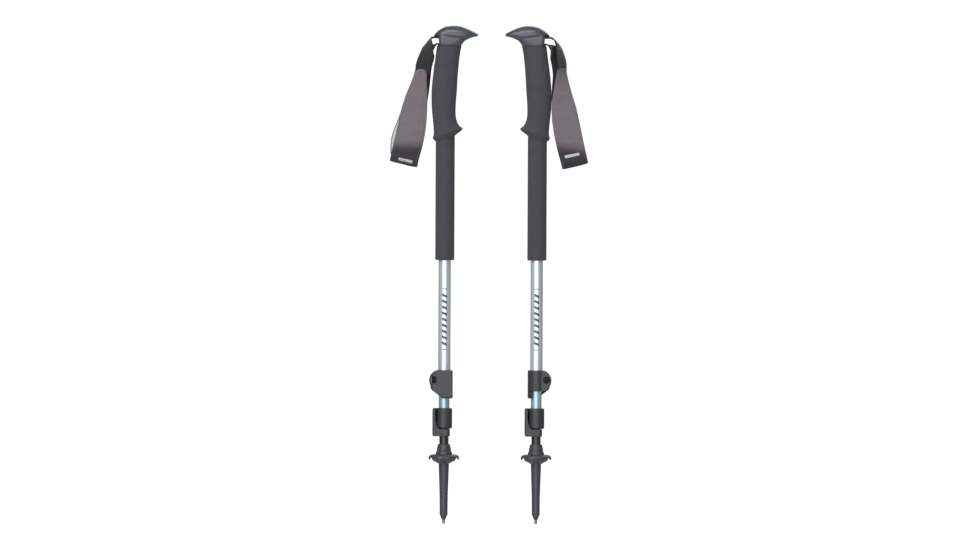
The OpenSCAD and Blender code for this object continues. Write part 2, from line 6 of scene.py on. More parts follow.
import bmesh
import bpy
import numpy as np
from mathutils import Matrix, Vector

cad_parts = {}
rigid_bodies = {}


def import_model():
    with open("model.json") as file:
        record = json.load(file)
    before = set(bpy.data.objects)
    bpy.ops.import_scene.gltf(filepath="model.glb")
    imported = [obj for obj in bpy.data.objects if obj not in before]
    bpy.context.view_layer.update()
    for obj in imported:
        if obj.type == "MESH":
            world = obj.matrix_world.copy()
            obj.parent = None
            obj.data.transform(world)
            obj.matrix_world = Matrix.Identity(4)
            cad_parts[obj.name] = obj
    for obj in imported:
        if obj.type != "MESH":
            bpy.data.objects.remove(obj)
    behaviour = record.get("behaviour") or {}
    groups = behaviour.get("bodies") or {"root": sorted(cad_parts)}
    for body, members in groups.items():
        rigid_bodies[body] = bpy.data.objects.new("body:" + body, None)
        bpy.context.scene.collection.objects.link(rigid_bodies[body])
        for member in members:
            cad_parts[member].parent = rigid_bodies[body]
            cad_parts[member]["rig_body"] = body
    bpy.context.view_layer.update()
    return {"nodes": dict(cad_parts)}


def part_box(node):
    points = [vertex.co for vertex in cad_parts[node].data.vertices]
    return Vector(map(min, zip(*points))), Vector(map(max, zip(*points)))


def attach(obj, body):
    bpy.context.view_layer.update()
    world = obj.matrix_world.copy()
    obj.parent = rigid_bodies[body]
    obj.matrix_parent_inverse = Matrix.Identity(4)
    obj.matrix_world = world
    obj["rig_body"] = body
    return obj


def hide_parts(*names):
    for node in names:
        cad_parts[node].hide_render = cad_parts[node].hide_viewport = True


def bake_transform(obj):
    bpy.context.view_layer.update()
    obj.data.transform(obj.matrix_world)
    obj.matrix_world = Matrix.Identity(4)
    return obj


MM = 0.001
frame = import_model()
NODES = frame["nodes"]
SIDES = {"left": -1, "right": 1}
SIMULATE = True


# ---------------------------------------------------------------- mesh helpers
def mesh_object(name, verts, faces, uvs=None):
    """A smooth-shaded mesh object from points in metres, with one UV pair a vertex."""
    mesh = bpy.data.meshes.new(name)
    mesh.from_pydata([tuple(v) for v in verts], [], [tuple(f) for f in faces])
    if uvs is not None:
        layer = mesh.uv_layers.new(name="UVMap")
        corner = np.zeros(len(mesh.loops), np.int32)
        mesh.loops.foreach_get("vertex_index", corner)
        layer.data.foreach_set("uv", np.asarray(uvs, np.float32)[corner].ravel())
    work = bmesh.new()
    work.from_mesh(mesh)
    bmesh.ops.recalc_face_normals(work, faces=work.faces)
    work.to_mesh(mesh)
    work.free()
    mesh.polygons.foreach_set("use_smooth", [True] * len(mesh.polygons))
    obj = bpy.data.objects.new(name, mesh)
    bpy.context.scene.collection.objects.link(obj)
    return obj


def ring_faces(rows, count):
    """Quads between closed rings of the same count, with an n-gon on each end."""
    faces = [
        (i * count + j, i * count + (j + 1) % count, (i + 1) * count + (j + 1) % count, (i + 1) * count + j)
        for i in range(rows - 1)
        for j in range(count)
    ]
    last = (rows - 1) * count
    return faces + [tuple(range(count - 1, -1, -1)), tuple(range(last, last + count))]


def coords(mesh):
    co = np.zeros(len(mesh.vertices) * 3)
    mesh.vertices.foreach_get("co", co)
    return co.reshape(-1, 3)


def set_coords(mesh, co):
    mesh.vertices.foreach_set("co", np.asarray(co, np.float32).ravel())
    mesh.update()


def applied(obj):
    """Replaces the object's mesh with its evaluated one and drops its modifiers."""
    depsgraph = bpy.context.evaluated_depsgraph_get()
    mesh = bpy.data.meshes.new_from_object(obj.evaluated_get(depsgraph))
    obj.modifiers.clear()
    obj.data = mesh
    return obj


def taubin(mesh, rounds, inward=0.5, outward=-0.53):
    """Smooths away facets without shrinking the form."""
    co = coords(mesh)
    edges = np.zeros(len(mesh.edges) * 2, np.int64)
    mesh.edges.foreach_get("vertices", edges)
    a, b = edges.reshape(-1, 2).T
    degree = np.bincount(np.concatenate([a, b]), minlength=len(co))[:, None].clip(1)
    for step in range(2 * rounds):
        total = np.zeros_like(co)
        np.add.at(total, a, co[b])
        np.add.at(total, b, co[a])
        co += (inward, outward)[step % 2] * (total / degree - co)
    set_coords(mesh, co)


def moulded(name, node, voxel, rounds, keep, rings=None):
    """A copy of a CAD node with its edges softened as on a moulded part; it stands for the node.

    voxel is the grain of the new mesh in mm, rounds how often it is smoothed, and keep the share of faces
    left. rings are those of a second closed form, in metres, that is moulded in one with it.
    """
    obj = bpy.data.objects.new(name, NODES[node].data.copy())
    bpy.context.scene.collection.objects.link(obj)
    work = bmesh.new()
    work.from_mesh(obj.data)
    bmesh.ops.remove_doubles(work, verts=work.verts, dist=1e-6)
    if rings is not None:
        made = [work.verts.new(point) for point in rings.reshape(-1, 3)]
        added = [work.faces.new([made[i] for i in face]) for face in ring_faces(*rings.shape[:2])]
        bmesh.ops.recalc_face_normals(work, faces=added)
    work.to_mesh(obj.data)
    work.free()
    remesh = obj.modifiers.new("remesh", "REMESH")
    remesh.mode = "VOXEL"
    remesh.voxel_size = voxel * MM
    applied(obj)
    taubin(obj.data, rounds)
    if keep < 1:
        obj.modifiers.new("decimate", "DECIMATE").ratio = keep
        applied(obj)
    obj.data.materials.clear()
    obj.data.polygons.foreach_set("use_smooth", [True] * len(obj.data.polygons))
    return stand_for(obj, node)


def stand_for(obj, *nodes):
    """obj replaces these CAD nodes and rides on the first one's body."""
    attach(obj, NODES[nodes[0]]["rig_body"])
    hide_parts(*nodes)
    return obj


def spline(points, steps):
    """Catmull-Rom through the rows of points, with so many steps between neighbours."""
    p = np.asarray(points, float)
    padded = np.vstack([p[0], p, p[-1]])
    rows = []
    for i in range(len(p) - 1):
        a, b, c, d = padded[i : i + 4]
        for j in range(steps):
            s = j / steps
            square, cube = 2 * a - 5 * b + 4 * c - d, 3 * b - a - 3 * c + d
            rows.append(0.5 * (2 * b + (c - a) * s + square * s**2 + cube * s**3))
    return np.array(rows + [p[-1]])


def resample(points, spacing):
    """Rows of points again at an even spacing along their first three columns."""
    step = np.linalg.norm(np.diff(points[:, :3], axis=0), axis=1)
    at = np.concatenate([[0], np.cumsum(step)])
    want = np.linspace(0, at[-1], max(2, round(at[-1] / spacing) + 1))
    return np.stack([np.interp(want, at, column) for column in points.T], axis=1), want


def unit(v):
    return v / np.linalg.norm(v, axis=-1, keepdims=True).clip(1e-12)


def to_row(points, sign):
    """From [outward from the pole axis, y, z] in mm to the row frame in metres."""
    p = np.array(points, float)
    p[..., 0] = sign * (POLE_X + p[..., 0])
    return p * MM


low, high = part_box("right_upper_shaft")
POLE_X = (low.x + high.x) / 2 / MM


# ---------------------------------------------------------------- materials
def add(tree, kind, settings=None, **sockets):
    """A shader node; a socket given as another socket is linked, else it is set."""
    made = tree.nodes.new(kind)
    for key, value in (settings or {}).items():
        setattr(made, key, value)
    for key, value in sockets.items():
        socket = made.inputs[int(key[1:])] if key[0] == "_" else made.inputs[key.replace("_", " ")]
        if isinstance(value, bpy.types.NodeSocket):
            tree.links.new(value, socket)
        else:
            socket.default_value = value
    return made


def srgb(r, g, b):
    """A colour given as 0 to 255, as linear values."""
    return tuple(((c / 255 + 0.055) / 1.055) ** 2.4 if c > 10 else c / 255 / 12.92 for c in (r, g, b)) + (1,)


def maths(tree, operation, a, b=0.0, c=0.0):
    return add(tree, "ShaderNodeMath", {"operation": operation}, _0=a, _1=b, _2=c).outputs[0]


def position(tree):
    return add(tree, "ShaderNodeTexCoord").outputs["Object"]


def noise(tree, scale, detail=2.0, vector=None, roughness=0.5):
    """Noise with features of about scale millimetres."""
    return add(
        tree, "ShaderNodeTexNoise", Vector=vector or position(tree), Scale=1 / (scale * MM), Detail=detail,
        Roughness=roughness,
    ).outputs["Fac"]


def ramp(tree, value, low_at, high_at, low_value=0.0, high_value=1.0, smooth=True):
    kind = "SMOOTHSTEP" if smooth else "LINEAR"
    return add(
        tree, "ShaderNodeMapRange", {"interpolation_type": kind}, _0=value, _1=low_at, _2=high_at, _3=low_value,
        _4=high_value,
    ).outputs[0]


def mix(tree, factor, a, b):
    made = add(tree, "ShaderNodeMix", {"data_type": "RGBA"}, _0=factor)
    for index, value in ((6, a), (7, b)):
        if isinstance(value, bpy.types.NodeSocket):
            tree.links.new(value, made.inputs[index])
        else:
            made.inputs[index].default_value = value
    return made.outputs[2]


def bump(tree, height, distance, strength=1.0):
    """Bump whose full height is distance millimetres."""
    return add(tree, "ShaderNodeBump", Height=height, Distance=distance * MM, Strength=strength).outputs[0]


def shade(factor, colour):
    """A colour scaled darker or lighter, for variation and for the painted edge highlight in nylon."""
    return tuple(c * factor for c in colour[:3]) + (1,)


MADE = {}


def material(name):
    """Decorator: the function fills a Principled shader, and the material is made once."""

    def keep(build):
        def get():
            if name not in MADE:
                made = bpy.data.materials.new(name)
                made.use_nodes = True
                tree = made.node_tree
                shader = tree.nodes["Principled BSDF"]
                for key, value in build(tree).items():
                    socket = shader.inputs[key.replace("_", " ")]
                    if isinstance(value, bpy.types.NodeSocket):
                        tree.links.new(value, socket)
                    else:
                        socket.default_value = value
                MADE[name] = made
            return MADE[name]

        return get

    return keep


def axial(tree):
    """Position split into x, y and z, in metres in the row frame."""
    parts = add(tree, "ShaderNodeSeparateXYZ", Vector=position(tree))
    return parts.outputs[0], parts.outputs[1], parts.outputs[2]


@material("grip_head")
def head_rubber(tree):
    base = srgb(62, 68, 77)
    cloud = noise(tree, 9, 3)
    return {
        "Base_Color": mix(tree, cloud, shade(0.88, base), shade(1.12, base)),
        "Roughness": ramp(tree, noise(tree, 1.2, 3), 0.3, 0.7, 0.26, 0.36),
        "Specular_IOR_Level": 0.75,
        "Normal": bump(tree, noise(tree, 0.35, 2), 0.02),
    }


@material("foam")
def foam(tree):
    base = srgb(69, 68, 74)
    cells = add(tree, "ShaderNodeTexVoronoi", Vector=position(tree), Scale=1 / (0.55 * MM)).outputs["Distance"]
    grain = maths(tree, "MULTIPLY_ADD", noise(tree, 0.3, 3), 0.6, maths(tree, "MULTIPLY", cells, 0.5))
    tone = maths(tree, "MULTIPLY_ADD", noise(tree, 14, 3), 0.55, maths(tree, "MULTIPLY", grain, 0.4))
    return {
        "Base_Color": mix(tree, tone, shade(0.8, base), shade(1.18, base)),
        "Roughness": 0.86,
        "Specular_IOR_Level": 0.28,
        "Sheen_Weight": 0.12,
        "Sheen_Roughness": 0.5,
        "Normal": bump(tree, grain, 0.09),
    }


def weave(tree, pitch, flat=0.5):
    """Height of a plain weave, with yarns of this pitch in millimetres along the UV axes (metres)."""
    uv = add(tree, "ShaderNodeUVMap").outputs[0]
    parts = add(tree, "ShaderNodeSeparateXYZ", Vector=uv)
    waves = []
    for index in (0, 1):
        turn = maths(tree, "MULTIPLY", parts.outputs[index], math.tau / (2 * pitch * MM))
        waves.append(maths(tree, "SINE", turn))
    crossing = maths(tree, "MULTIPLY", waves[0], waves[1])
    rib = maths(tree, "ABSOLUTE", waves[0])
    return maths(tree, "MULTIPLY_ADD", crossing, flat, rib)


@material("webbing")
def webbing(tree):
    base = srgb(38, 38, 41)
    height = weave(tree, 0.9, 0.6)
    fuzz = noise(tree, 0.25, 2)
    return {
        "Base_Color": mix(tree, ramp(tree, height, -0.4, 1.4), shade(0.5, base), shade(1.5, base)),
        "Roughness": 0.72,
        "Specular_IOR_Level": 0.35,
        "Sheen_Weight": 0.25,
        "Sheen_Roughness": 0.4,
        "Normal": bump(tree, maths(tree, "MULTIPLY_ADD", fuzz, 0.5, height), 0.16),
    }


# Printed end of the knit, in metres: how high it starts, its slope, and where across that height holds
DARK_FROM = {"left": 0.4935, "right": 0.4905}
DARK_SLOPE = {"left": 0.02, "right": 0.16}
DARK_AT = 0.105


def knit(tree, side):
    """Brushed knit whose printed lower end fades through speckles to near black."""
    warm, deep = srgb(122, 115, 120), srgb(62, 60, 65)
    height = weave(tree, 0.42, 0.7)
    heather = noise(tree, 0.8, 3)
    blotch = noise(tree, 11, 2)
    tone = maths(tree, "MULTIPLY_ADD", heather, 0.55, maths(tree, "MULTIPLY", blotch, 0.45))
    plain = mix(tree, tone, shade(0.82, warm), shade(1.16, warm))
    x, _, z = axial(tree)
    slope = maths(tree, "MULTIPLY_ADD", x, DARK_SLOPE[side], z)
    centre = DARK_FROM[side] + DARK_SLOPE[side] * SIDES[side] * DARK_AT
    ragged = maths(tree, "MULTIPLY_ADD", noise(tree, 0.7, 2), 0.012, slope)
    dark = ramp(tree, ragged, centre - 0.004, centre + 0.014, 1.0, 0.0)
    return {
        "Base_Color": mix(tree, dark, plain, deep),
        "Roughness": 0.92,
        "Specular_IOR_Level": 0.2,
        "Sheen_Weight": 0.35,
        "Sheen_Roughness": 0.35,
        "Sheen_Tint": srgb(190, 184, 186),
        "Normal": bump(tree, maths(tree, "MULTIPLY_ADD", heather, 0.6, height), 0.1),
    }


knits = {side: material("wrist_band_" + side)(lambda tree, side=side: knit(tree, side)) for side in SIDES}


@material("band_lining")
def lining(tree):
    base = srgb(196, 219, 212)
    height = weave(tree, 0.6, 0.5)
    pile = noise(tree, 0.5, 3)
    return {
        "Base_Color": mix(tree, pile, shade(0.86, base), shade(1.08, base)),
        "Roughness": 0.95,
        "Specular_IOR_Level": 0.15,
        "Sheen_Weight": 0.4,
        "Normal": bump(tree, maths(tree, "ADD", pile, height), 0.1),
    }


@material("stitch_thread")
def thread(tree):
    base = srgb(96, 92, 94)
    return {
        "Base_Color": mix(tree, noise(tree, 0.3, 2), shade(0.7, base), shade(1.3, base)),
        "Roughness": 0.6,
        "Sheen_Weight": 0.2,
    }


@material("reflective_print")
def reflective(tree):
    base = srgb(186, 184, 186)
    beads = add(tree, "ShaderNodeTexVoronoi", Vector=position(tree), Scale=1 / (0.5 * MM)).outputs["Distance"]
    return {
        "Base_Color": mix(tree, beads, shade(1.06, base), shade(0.82, base)),
        "Roughness": 0.42,
        "Metallic": 0.15,
        "Normal": bump(tree, beads, 0.04),
    }


def anodised(tree, base, ticks):
    """Satin anodised tube with fine drawing lines, and printed marks as a list of (mask, colour)."""
    x, y, z = axial(tree)
    lines = add(tree, "ShaderNodeCombineXYZ", X=x, Y=y, Z=maths(tree, "MULTIPLY", z, 0.02))
    streak = noise(tree, 0.25, 2, lines.outputs[0])
    colour = mix(tree, streak, shade(0.95, base), shade(1.05, base))
    for mask, ink in ticks:
        colour = mix(tree, mask, colour, ink)
    return {
        "Base_Color": colour,
        "Metallic": 0.62,
        "Roughness": ramp(tree, streak, 0.2, 0.8, 0.27, 0.36),
        "Normal": bump(tree, streak, 0.004),
        "Coat_Weight": 0.15,
        "Coat_Roughness": 0.2,
    }


def between(tree, value, start, stop, edge=0.00008):
    up = ramp(tree, value, start - edge, start + edge)
    down = ramp(tree, value, stop - edge, stop + edge, 1.0, 0.0)
    return maths(tree, "MULTIPLY", up, down)


def pole_x(tree, x, sign):
    return maths(tree, "SUBTRACT", x, sign * POLE_X * MM)


def upper_print(tree, sign):
    """A generic column of slanted bars with a fine rule on each end, on the front of the upper tube."""
    x, y, z = axial(tree)
    across = pole_x(tree, x, sign)
    front = ramp(tree, y, -0.002, -0.001, 1.0, 0.0)
    half_width, pitch, first, last = 0.0031, 0.0078, 0.2315, 0.3015
    column = between(tree, across, -half_width, half_width)
    slanted = maths(tree, "MULTIPLY_ADD", across, 0.45, maths(tree, "SUBTRACT", z, first))
    phase = maths(tree, "FRACT", maths(tree, "DIVIDE", slanted, pitch))
    bars = maths(tree, "MULTIPLY", between(tree, phase, 0.16, 0.62, 0.01), between(tree, z, first, last))
    rules = maths(tree, "ADD", between(tree, z, 0.2262, 0.2272), between(tree, z, 0.3052, 0.3062))
    marks = maths(tree, "MAXIMUM", bars, rules)
    mask = maths(tree, "MULTIPLY", maths(tree, "MULTIPLY", column, front), marks)
    return [(maths(tree, "MULTIPLY", mask, 0.92), srgb(48, 50, 56))]


def scale_print(tree, sign, start, stop, ink):
    """Fine length marks every 10 mm, longer every 50 mm, on the part that slides out."""
    x, y, z = axial(tree)
    across = maths(tree, "ABSOLUTE", pole_x(tree, x, sign))
    front = ramp(tree, y, -0.002, -0.001, 1.0, 0.0)
    span = between(tree, z, start, stop)
    masks = []
    for pitch, reach in ((0.01, 0.0016), (0.05, 0.0032)):
        phase = maths(tree, "FRACT", maths(tree, "DIVIDE", z, pitch))
        line = between(tree, phase, 0.5 - 0.00035 / pitch, 0.5 + 0.00035 / pitch, 0.00008 / pitch)
        masks.append(maths(tree, "MULTIPLY", line, ramp(tree, across, reach, reach + 0.0001, 1.0, 0.0)))
    mark = maths(tree, "MULTIPLY", maths(tree, "MAXIMUM", *masks), maths(tree, "MULTIPLY", span, front))
    return [(mark, ink)]


def upper_tube(tree, sign):
    return anodised(tree, srgb(224, 235, 241), upper_print(tree, sign))


def middle_tube(tree, sign):
    return anodised(tree, srgb(178, 209, 217), scale_print(tree, sign, 0.215, 0.585, srgb(60, 66, 70)))


def lower_tube(tree, sign):
    values = anodised(tree, srgb(74, 69, 70), scale_print(tree, sign, 0.165, 0.56, srgb(170, 172, 176)))
    values["Roughness"] = 0.3
    return values


tubes = {
    (part, side): material(f"{part}_{side}")(lambda tree, build=build, sign=sign: build(tree, sign))
    for side, sign in SIDES.items()
    for part, build in (("upper_tube", upper_tube), ("middle_tube", middle_tube), ("lower_tube", lower_tube))
}


def nylon(tree, base, low_rough, high_rough, grain=0.03, edge=0.0):
    """Moulded nylon; edge is how strongly a highlight is painted on the outside corners, where the surface is
    pointy.
    """
    spark = noise(tree, 0.3, 2)
    wear = noise(tree, 6, 3)
    colour = mix(tree, wear, shade(0.88, base), shade(1.12, base))
    if edge:
        # Painted highlight: outside corners lightened towards 3.2 times the base colour, standing in for light
        # caught along the edges
        corner = add(tree, "ShaderNodeNewGeometry").outputs["Pointiness"]
        painted_highlight = maths(tree, "MULTIPLY", ramp(tree, corner, 0.53, 0.6), edge)
        colour = mix(tree, painted_highlight, colour, shade(3.2, base))
    return {
        "Base_Color": colour,
        "Roughness": ramp(tree, noise(tree, 2.5, 3), 0.3, 0.7, low_rough, high_rough),
        "Specular_IOR_Level": 0.45,
        "Normal": bump(tree, spark, grain),
    }


@material("lock_plastic")
def lock_plastic(tree):
    # edge paints a highlight on the lock's outside corners
    return nylon(tree, srgb(58, 58, 64), 0.27, 0.38, edge=0.7)


@material("tip_plastic")
def tip_plastic(tree):
    # edge paints a highlight on the tip's outside corners
    return nylon(tree, srgb(70, 70, 77), 0.24, 0.36, edge=0.4)


@material("tip_metal")
def tip_metal(tree):
    values = nylon(tree, srgb(78, 79, 84), 0.32, 0.45, 0.02)
    return values | {"Metallic": 0.6}


@material("hidden_plastic")
# Near-black for the inner parts, as painted shade: the locks' recesses and gaps where they show read dark
def hidden_plastic(tree):
    return nylon(tree, srgb(18, 18, 20), 0.5, 0.65)


def ground(tree, base, rough):
    streak = noise(tree, 0.2, 3, roughness=0.7)
    return {
        "Base_Color": mix(tree, streak, shade(0.8, base), shade(1.1, base)),
        "Metallic": 1.0,
        "Roughness": ramp(tree, streak, 0.3, 0.7, rough - 0.06, rough + 0.08),
        "Normal": bump(tree, streak, 0.01),
    }


@material("steel")
def steel(tree):
    return ground(tree, srgb(120, 121, 124), 0.36)


@material("dark_screw")
def dark_screw(tree):
    return ground(tree, srgb(38, 37, 40), 0.4)


@material("carbide")
def carbide(tree):
    return ground(tree, srgb(146, 146, 147), 0.48)


def finish_with(obj, made):
    obj.data.materials.clear()
    obj.data.materials.append(made)
    obj.data.polygons.foreach_set("material_index", [0] * len(obj.data.polygons))
    return obj


def dress(node, made):
    """Gives a kept CAD node its material."""
    obj = NODES[node]
    for slot in obj.material_slots:
        slot.material = made
    if not obj.material_slots:
        obj.data.materials.append(made)


# ---------------------------------------------------------------- grip
# Foam grip: height on the axis, reach to the rear, reach to the beak side, half depth
FOAM = [
    [500, 12.5, 12.5, 12.5], [502, 12.8, 13.2, 12.8], [504.5, 15.4, 18.6, 14.6], [507, 16.4, 22.4, 16.2],
    [509.5, 15.6, 21.4, 15.8], [513, 15.1, 18.4, 14.8], [518, 15.3, 16.0, 14.0], [525, 16.0, 14.2, 13.6],
    [533, 17.0, 13.4, 13.5], [541, 17.8, 13.4, 13.5], [552, 18.2, 13.9, 13.6], [564, 18.1, 14.9, 13.7],
    [578, 17.0, 15.6, 13.6], [592, 15.4, 16.6, 13.3], [604, 13.7, 17.8, 13.0], [613, 12.5, 18.9, 12.7],
    [622, 11.4, 20.6, 12.5],
]
FLARE_SLOPE = 0.3
SLOPE_FULL, SLOPE_GONE = 508, 545


def through(table, heights):
    """Cubic through a table's rows by their first column, at these heights."""
    t = np.array(table, float)
    at = t[:, 0]
    before, after = np.maximum(np.arange(len(t)) - 1, 0), np.minimum(np.arange(len(t)) + 1, len(t) - 1)
    slope = (t[after] - t[before]) / (at[after] - at[before])[:, None]
    i = np.clip(np.searchsorted(at, heights) - 1, 0, len(t) - 2)
    h = (at[i + 1] - at[i])[:, None]
    s = (heights - at[i])[:, None] / h
    start = t[i] * (2 * s**3 - 3 * s**2 + 1) + slope[i] * h * (s**3 - 2 * s**2 + s)
    return start + t[i + 1] * (3 * s**2 - 2 * s**3) + slope[i + 1] * h * (s**3 - s**2)


def grip_foam(side, sign):
    """The foam grip as one smooth skin of egg-shaped rings that slope with the flare, with eased ends."""
    count, ease = 112, 0.7
    turn = np.linspace(0, math.tau, count, endpoint=False)
    bottom, top = FOAM[0][0], FOAM[-1][0]
    heights = bottom + (top - bottom) * np.linspace(0, 1, 150) ** 1.15
    rings = []
    for z, rear, beak, depth in through(FOAM, heights):
        fade = np.clip((z - SLOPE_FULL) / (SLOPE_GONE - SLOPE_FULL), 0, 1)
        tilt = FLARE_SLOPE * (1 - fade * fade * (3 - 2 * fade))
        x = np.cos(turn) * np.where(np.cos(turn) > 0, beak, rear)
        rings.append(np.stack([-x, np.sin(turn) * depth, z + tilt * x], axis=1))
    skin = np.array(rings)
    ends = []
    for ring, into in ((skin[0], 1), (skin[-1], -1)):
        radius = np.hypot(ring[:, 0], ring[:, 1])[:, None]
        steps = []
        for lean in np.radians((0, 30, 60)):
            eased = ring.copy()
            eased[:, :2] *= (radius - ease * (1 - math.sin(lean))) / radius
            eased[:, 2] += into * ease * (1 - math.cos(lean))
            steps.append(eased)
        ends.append(steps)
    inner = skin[(skin[:, 0, 2] > skin[0, 0, 2] + ease) & (skin[:, 0, 2] < skin[-1, 0, 2] - ease)]
    skin = to_row(np.concatenate([ends[0], inner, ends[1][::-1]]), sign)
    obj = mesh_object(side + "_foam_grip", skin.reshape(-1, 3), ring_faces(len(skin), count))
    finish_with(obj, foam())
    return stand_for(obj, side + "_grip_foam")


def lathe(name, sign, profile, count=112):
    """A solid of revolution about the pole axis from [radius, z] in mm."""
    turn = np.linspace(0, math.tau, count, endpoint=False)
    p = np.array(profile, float)
    rings = np.stack(
        [
            np.outer(p[:, 0], np.cos(turn)) + sign * POLE_X,
            np.outer(p[:, 0], np.sin(turn)),
            np.repeat(p[:, 1][:, None], count, 1),
        ],
        axis=-1,
    )
    return mesh_object(name, rings.reshape(-1, 3) * MM, ring_faces(len(p), count))


def rounded_profile(corners):
    """A profile from [radius, z, corner radius]: each corner is an arc of four points."""
    p = np.array([row[:2] for row in corners], float)
    made = [p[0]]
    for i in range(1, len(p) - 1):
        into, away = unit(p[i - 1] - p[i]), unit(p[i + 1] - p[i])
        room = min(np.linalg.norm(p[i - 1] - p[i]), np.linalg.norm(p[i + 1] - p[i])) * 0.48
        back = min(corners[i][2], room)
        for s in (0, 0.33, 0.67, 1):
            made.append((1 - s) ** 2 * (p[i] + into * back) + 2 * s * (1 - s) * p[i] + s**2 * (p[i] + away * back))
    return np.array(made + [p[-1]])


def turned(name, node, sign, corners, made):
    """A solid of revolution with eased corners that stands for a CAD node."""
    obj = lathe(name, sign, rounded_profile(corners))
    obj.data.set_sharp_from_angle(angle=math.radians(50))
    finish_with(obj, made)
    return stand_for(obj, node)


def arc(x, z, radius, start, stop, count=6):
    """Points on an arc, in degrees from +x towards +z."""
    turn = np.radians(np.linspace(start, stop, count))
    return [[x + radius * math.cos(t), z + radius * math.sin(t)] for t in turn]


def foam_extension(side, sign):
    """The foam sleeve, turned, with its top end cut to the flare's slope."""
    node = side + "_grip_extension"
    lowest, highest = (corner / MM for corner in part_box(node))
    outer = (highest.x - lowest.x) / 2
    ease, top = 2.2, FOAM[0][0]
    straight = [[outer, z] for z in np.linspace(lowest.z + 6, top - 6, 40)]
    profile = [[outer - 4.2, lowest.z]] + arc(outer - ease, lowest.z + ease, ease, -90, 0) + straight
    profile += arc(outer - 0.6, top - 0.6, 0.6, 0, 90, 4) + [[outer - 4, top]]
    obj = lathe(side + "_foam_sleeve", sign, profile)
    co = coords(obj.data) / MM
    share = ((co[:, 2] - top + 6) / 6).clip(0, 1)
    co[:, 2] -= FLARE_SLOPE * (co[:, 0] * sign - POLE_X) * share
    set_coords(obj.data, co * MM)
    finish_with(obj, foam())
    return stand_for(obj, node)


# Closed sections of the turned pieces: radius, height, corner radius
FLEX_TIP = [
    [2.45, 28, 0], [2.45, 11, 0.1], [4.7, 11, 0.3], [5.2, 11.5, 0.4], [5.2, 24, 0.5], [5.4, 38, 3],
    [6.6, 74, 4], [6.6, 78.4, 0.5], [6.9, 79.4, 0.4], [6.9, 103.6, 0.2], [6.05, 103.6, 0.1], [6.05, 80, 0],
]
RING_HUB = [
    [6.9, 89.8, 0], [10.8, 89.8, 0.3], [10.6, 91.6, 1.2], [10.1, 93.6, 0.6], [9.4, 94.2, 0.3],
    [9.0, 94.8, 0.3], [9.5, 95.7, 0.5], [8.0, 102.4, 0.8], [7.4, 103.5, 0.4], [6.9, 103.6, 0],
]


# ---------------------------------------------------------------- strap
# Wrist band going down its front layer: inner edge, outer edge (outward from the pole, z), turn
BAND_EDGES = {
    "left": [
        [24.0, 592, 39.2, 593, 90], [24.3, 578, 42.8, 580, 90], [23.3, 557, 51.2, 559, 90],
        [23.4, 537, 57.4, 540, 90], [25.0, 515, 61.8, 520, 90], [28.4, 495, 66.0, 501, 90],
        [34.8, 471, 70.8, 479.4, 90],
    ],
    "right": [
        [26.4, 595, 36.8, 598, 35], [23.8, 582, 38.6, 584, 54], [19.4, 557, 45.4, 559, 78],
        [17.8, 538, 50.8, 541, 88], [20.4, 515, 55.8, 519, 90], [24.6, 493, 60.2, 498, 90],
        [31.0, 469, 64.8, 477.4, 90],
    ],
}
# Each layer's distance from the pole's plane, the fold's depth below the front layer, how far the rear layer
# bows outward, the row of the path where it starts, and the pad's thickness
BAND_GAP = 6.4
FOLD_DROP = 7
REAR_SHIFT = {"left": 5.0, "right": 0.0}
REAR_TOP = {"left": 18, "right": 20}
BAND_T = 2.5

# Webbing legs from head to band: outward, y, z, turn from across to facing
FRONT_LEG = {
    "left": [
        [15.8, 0, 633.2, 0], [17.6, 0, 632.9, 0], [20.0, -0.2, 631.5, 1], [22.0, -1.2, 628.4, 14],
        [23.3, -3.6, 621, 42], [24.8, -5.5, 611, 66], [27.3, -6.4, 602, 82], [29.6, -6.4, 594, 89],
        [31.0, -6.4, 586, 90],
    ],
    "right": [
        [15.8, 0, 633.2, 0], [17.8, 0, 632.8, 0], [21.6, -0.3, 630.6, 3], [25.0, -1.6, 626, 13],
        [27.8, -3.4, 619, 23], [29.6, -5.0, 611, 30], [31.2, -6.2, 603, 35], [31.8, -6.4, 597, 36],
        [31.6, -6.4, 590, 44],
    ],
}
REAR_LEG = {
    "left": [
        [11.0, 0, 624.4, 0], [14.6, 1.4, 621.6, 16], [19.6, 3.8, 616.6, 42], [23.4, 5.4, 609, 66],
        [26.4, 6.2, 601, 80], [28.4, 6.4, 592, 88], [29.5, 6.4, 580, 90], [31.6, 6.4, 562, 90],
        [34.0, 6.4, 547, 90], [36.5, 6.4, 534, 90],
    ],
    "right": [
        [11.0, 0, 624.4, 0], [14.6, 0.6, 622.2, 14], [19.4, 2.6, 618, 38], [23.4, 4.8, 612.6, 58],
        [25.8, 6.2, 606, 67], [27.6, 6.8, 597, 68], [28.8, 6.8, 586, 66], [28.8, 6.6, 574, 76],
        [28.2, 6.4, 558, 89], [28.6, 6.4, 526, 90],
    ],
}
# The pin's place outward and in height, and the radius at which the webbing turns round it
PIN = (-1.0, 630.3)
PIN_TURN = 2.9
WEBBING_W = 20
WEBBING_T = 1.5


